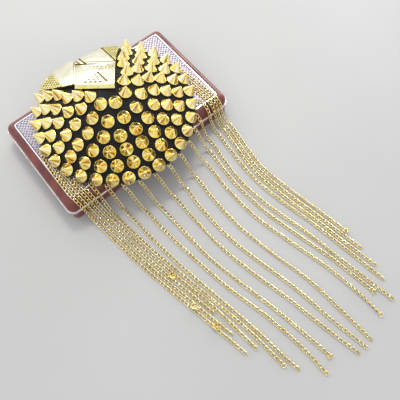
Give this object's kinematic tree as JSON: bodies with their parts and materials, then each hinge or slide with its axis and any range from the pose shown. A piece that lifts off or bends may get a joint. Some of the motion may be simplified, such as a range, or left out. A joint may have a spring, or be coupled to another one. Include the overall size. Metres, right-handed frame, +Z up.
{
  "type": "chain-fringed epaulette on a display block",
  "caption": "Domed shoulder epaulette with arcs of gold cone studs, embossed gold plates and a long fringe of curb chains, lying on a low display block.",
  "frame": {"origin": "centre of the display block's bottom face", "axes": "+X along the block's long edge, -Y the way the chain fringe falls, +Y the collar side with the plates, +Z up"},
  "size_m": [0.155, 0.3105, 0.056],
  "materials": {
    "block_leather": "smooth reddish-brown leather look, softly glossy",
    "block_metal": "polished light band",
    "block_pattern": "fine mauve and silver pattern with a light border",
    "board_cloth": "black woven cloth over a stiff shell",
    "plate_gold": "pale gold plate, polished and embossed",
    "stud_gold": "bright gold, polished",
    "chain_gold": "bright pale gold"
  },
  "bodies": {
    "root": {"block_base": "block_leather", "block_trim": "block_metal", "block_cover": "block_leather", "block_panel": "block_pattern", "board": "board_cloth", "plate_left": "plate_gold", "plate_right": "plate_gold", "plate_front": "plate_gold", "stud_arc_1": "stud_gold", "stud_arc_2": "stud_gold", "stud_arc_3": "stud_gold", "stud_arc_4": "stud_gold", "stud_arc_5": "stud_gold", "stud_arc_6": "stud_gold", "chain_1": "chain_gold", "chain_2": "chain_gold", "chain_3": "chain_gold", "chain_4": "chain_gold", "chain_5": "chain_gold", "chain_6": "chain_gold", "chain_7": "chain_gold", "chain_8": "chain_gold", "chain_9": "chain_gold", "chain_10": "chain_gold", "chain_11": "chain_gold", "chain_12": "chain_gold", "chain_13": "chain_gold", "chain_14": "chain_gold", "chain_15": "chain_gold", "chain_16": "chain_gold", "chain_17": "chain_gold", "chain_18": "chain_gold"}
  },
  "joints": []
}
